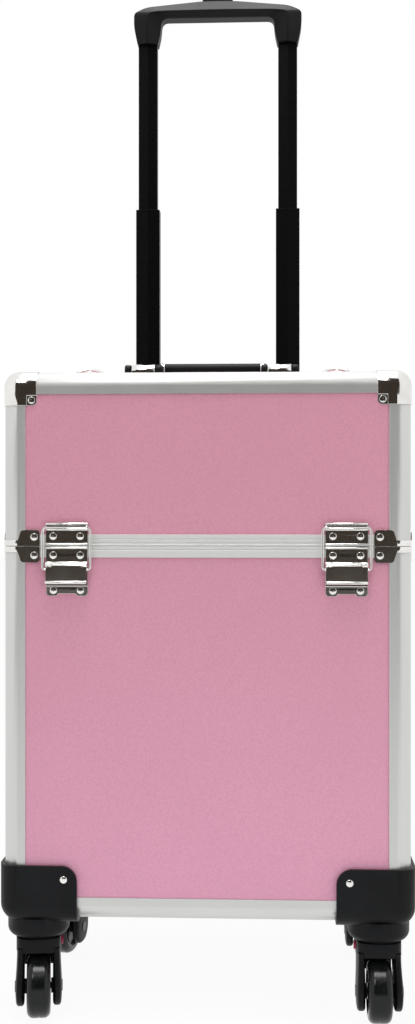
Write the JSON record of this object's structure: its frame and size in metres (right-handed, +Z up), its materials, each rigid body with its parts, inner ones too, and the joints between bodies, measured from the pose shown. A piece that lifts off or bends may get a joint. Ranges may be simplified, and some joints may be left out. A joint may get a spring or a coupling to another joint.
{
  "type": "rolling makeup case",
  "caption": "Upright rolling makeup case: covered boards in an aluminium frame, lift-off lid with draw latches, chrome corners, swivel casters and a telescopic trolley handle.",
  "frame": {"origin": "on the floor, at the middle of the whole outline seen from above", "axes": "+Z up, front of the case towards -Y, +X to the right seen from the front"},
  "size_m": [0.37, 0.2892, 1.002],
  "materials": {
    "board": "pebbled pink covering on board",
    "frame": "satin extruded",
    "chrome": "bright plated",
    "moulding": "fine moulded texture",
    "tube": "satin black",
    "wheel": "glossy black",
    "steel": "bright steel",
    "red_button": "glossy red",
    "dark_button": "satin",
    "lining": "black felted lining"
  },
  "bodies": {
    "tub": {"front_panel": "board", "back_panel": "board", "side_panels": "board", "floor_panel": "board", "corner_posts": "frame", "bottom_rails": "frame", "tub_rim": "frame", "tub_liner": "lining", "foot_front_left": "moulding", "foot_front_right": "moulding", "foot_rear_left": "moulding", "foot_rear_right": "moulding", "tub_corner_plates": "chrome", "latch_bases": "chrome", "tub_fasteners": "chrome", "trolley_sleeves": "tube", "trolley_mounts": "moulding"},
    "lid": {"lid_wall_panels": "board", "lid_top_panel": "board", "lid_posts": "frame", "lid_top_rails": "frame", "lid_rim": "frame", "lid_liner": "lining", "ball_corners": "chrome", "lid_corner_plates": "chrome", "catch_plates": "chrome", "lid_fasteners": "chrome", "lid_brackets": "chrome"},
    "trolley_outer": {"outer_tubes": "tube"},
    "trolley_inner": {"inner_tubes": "tube", "trolley_grip": "moulding"},
    "trolley_release": {"release_button": "dark_button", "push_rods": "steel"},
    "handle": {"carry_handle": "moulding"},
    "ring_l": {"ring_left": "chrome"},
    "ring_r": {"ring_right": "chrome"},
    "caster_front_left": {"fork_front_left": "moulding", "axle_front_left": "steel"},
    "roller_front_left": {"wheel_front_left": "wheel"},
    "unlock_front_left": {"unlock_front_left": "red_button"},
    "lever_front_left": {"lever_front_left": "chrome"},
    "loop_front_left": {"loop_front_left": "chrome"},
    "caster_front_right": {"fork_front_right": "moulding", "axle_front_right": "steel"},
    "roller_front_right": {"wheel_front_right": "wheel"},
    "unlock_front_right": {"unlock_front_right": "red_button"},
    "lever_front_right": {"lever_front_right": "chrome"},
    "loop_front_right": {"loop_front_right": "chrome"},
    "caster_rear_left": {"fork_rear_left": "moulding", "axle_rear_left": "steel"},
    "roller_rear_left": {"wheel_rear_left": "wheel"},
    "unlock_rear_left": {"unlock_rear_left": "red_button"},
    "lever_rear_left": {"lever_rear_left": "chrome"},
    "loop_rear_left": {"loop_rear_left": "chrome"},
    "caster_rear_right": {"fork_rear_right": "moulding", "axle_rear_right": "steel"},
    "roller_rear_right": {"wheel_rear_right": "wheel"},
    "unlock_rear_right": {"unlock_rear_right": "red_button"},
    "lever_rear_right": {"lever_rear_right": "chrome"},
    "loop_rear_right": {"loop_rear_right": "chrome"}
  },
  "joints": [
    {"name": "lid_lift", "type": "slide", "parent": "tub", "child": "lid", "axis": [0, 0, 1], "range_m": [0, 0.2]},
    {"name": "trolley_lower_stage", "type": "slide", "parent": "tub", "child": "trolley_outer", "axis": [0, 0, 1], "range_m": [-0.185, 0]},
    {"name": "trolley_upper_stage", "type": "slide", "parent": "trolley_outer", "child": "trolley_inner", "axis": [0, 0, 1], "range_m": [-0.165, 0]},
    {"name": "trolley_button", "type": "slide", "parent": "trolley_inner", "child": "trolley_release", "axis": [0, 0, -1], "range_m": [0, 0.004], "stiffness_N_per_m": 400, "springref_m": -0.005},
    {"name": "handle_raise", "type": "hinge", "parent": "lid", "child": "handle", "pos_m": [0, -0.02585, 0.5857], "axis": [1, 0, 0], "range_deg": [0, 90]},
    {"name": "ring_left_swing", "type": "hinge", "parent": "lid", "child": "ring_l", "pos_m": [-0.12, -0.01235, 0.5817], "axis": [1, 0, 0], "range_deg": [0, 124]},
    {"name": "ring_right_swing", "type": "hinge", "parent": "lid", "child": "ring_r", "pos_m": [0.12, -0.01235, 0.5817], "axis": [1, 0, 0], "range_deg": [0, 124]},
    {"name": "caster_front_left_swivel", "type": "hinge", "parent": "tub", "child": "caster_front_left", "pos_m": [-0.1525, -0.10485, 0.0909], "axis": [0, 0, 1], "continuous": true},
    {"name": "wheel_front_left_roll", "type": "hinge", "parent": "caster_front_left", "child": "roller_front_left", "pos_m": [-0.15062, -0.11671, 0.0275], "axis": [0.9877, 0.1564, 0], "continuous": true},
    {"name": "unlock_front_left_press", "type": "slide", "parent": "caster_front_left", "child": "unlock_front_left", "axis": [-0.9877, -0.1564, 0], "range_m": [0, 0.0018], "stiffness_N_per_m": 500, "springref_m": -0.002},
    {"name": "latch_front_left_open", "type": "hinge", "parent": "tub", "child": "lever_front_left", "pos_m": [-0.123, -0.13605, 0.4049], "axis": [-1, 0, 0], "range_deg": [0, 160]},
    {"name": "loop_front_left_swing", "type": "hinge", "parent": "lever_front_left", "child": "loop_front_left", "pos_m": [-0.123, -0.13575, 0.4005], "axis": [-1, 0, 0], "range_deg": [-257, 0]},
    {"name": "caster_front_right_swivel", "type": "hinge", "parent": "tub", "child": "caster_front_right", "pos_m": [0.1525, -0.10485, 0.0909], "axis": [0, 0, 1], "continuous": true},
    {"name": "wheel_front_right_roll", "type": "hinge", "parent": "caster_front_right", "child": "roller_front_right", "pos_m": [0.1525, -0.11685, 0.0275], "axis": [1, 0, 0], "continuous": true},
    {"name": "unlock_front_right_press", "type": "slide", "parent": "caster_front_right", "child": "unlock_front_right", "axis": [1, 0, 0], "range_m": [0, 0.0018], "stiffness_N_per_m": 500, "springref_m": -0.002},
    {"name": "latch_front_right_open", "type": "hinge", "parent": "tub", "child": "lever_front_right", "pos_m": [0.123, -0.13605, 0.4049], "axis": [-1, 0, 0], "range_deg": [0, 160]},
    {"name": "loop_front_right_swing", "type": "hinge", "parent": "lever_front_right", "child": "loop_front_right", "pos_m": [0.123, -0.13575, 0.4005], "axis": [-1, 0, 0], "range_deg": [-257, 0]},
    {"name": "caster_rear_left_swivel", "type": "hinge", "parent": "tub", "child": "caster_rear_left", "pos_m": [-0.1525, 0.08015, 0.0909], "axis": [0, 0, 1], "continuous": true},
    {"name": "wheel_rear_left_roll", "type": "hinge", "parent": "caster_rear_left", "child": "roller_rear_left", "pos_m": [-0.15499, 0.06841, 0.0275], "axis": [0.9781, -0.2079, 0], "continuous": true},
    {"name": "unlock_rear_left_press", "type": "slide", "parent": "caster_rear_left", "child": "unlock_rear_left", "axis": [-0.9781, 0.2079, 0], "range_m": [0, 0.0018], "stiffness_N_per_m": 500, "springref_m": -0.002},
    {"name": "latch_rear_left_open", "type": "hinge", "parent": "tub", "child": "lever_rear_left", "pos_m": [-0.123, 0.11135, 0.4049], "axis": [1, 0, 0], "range_deg": [0, 160]},
    {"name": "loop_rear_left_swing", "type": "hinge", "parent": "lever_rear_left", "child": "loop_rear_left", "pos_m": [-0.123, 0.11105, 0.4005], "axis": [1, 0, 0], "range_deg": [-257, 0]},
    {"name": "caster_rear_right_swivel", "type": "hinge", "parent": "tub", "child": "caster_rear_right", "pos_m": [0.1525, 0.08015, 0.0909], "axis": [0, 0, 1], "continuous": true},
    {"name": "wheel_rear_right_roll", "type": "hinge", "parent": "caster_rear_right", "child": "roller_rear_right", "pos_m": [0.1525, 0.06815, 0.0275], "axis": [1, 0, 0], "continuous": true},
    {"name": "unlock_rear_right_press", "type": "slide", "parent": "caster_rear_right", "child": "unlock_rear_right", "axis": [1, 0, 0], "range_m": [0, 0.0018], "stiffness_N_per_m": 500, "springref_m": -0.002},
    {"name": "latch_rear_right_open", "type": "hinge", "parent": "tub", "child": "lever_rear_right", "pos_m": [0.123, 0.11135, 0.4049], "axis": [1, 0, 0], "range_deg": [0, 160]},
    {"name": "loop_rear_right_swing", "type": "hinge", "parent": "lever_rear_right", "child": "loop_rear_right", "pos_m": [0.123, 0.11105, 0.4005], "axis": [1, 0, 0], "range_deg": [-257, 0]}
  ],
  "couplings": [
    {"joint": "loop_front_left_swing", "follows": "latch_front_left_open", "ratio": -1.6},
    {"joint": "loop_front_right_swing", "follows": "latch_front_right_open", "ratio": -1.6},
    {"joint": "loop_rear_left_swing", "follows": "latch_rear_left_open", "ratio": -1.6},
    {"joint": "loop_rear_right_swing", "follows": "latch_rear_right_open", "ratio": -1.6}
  ]
}
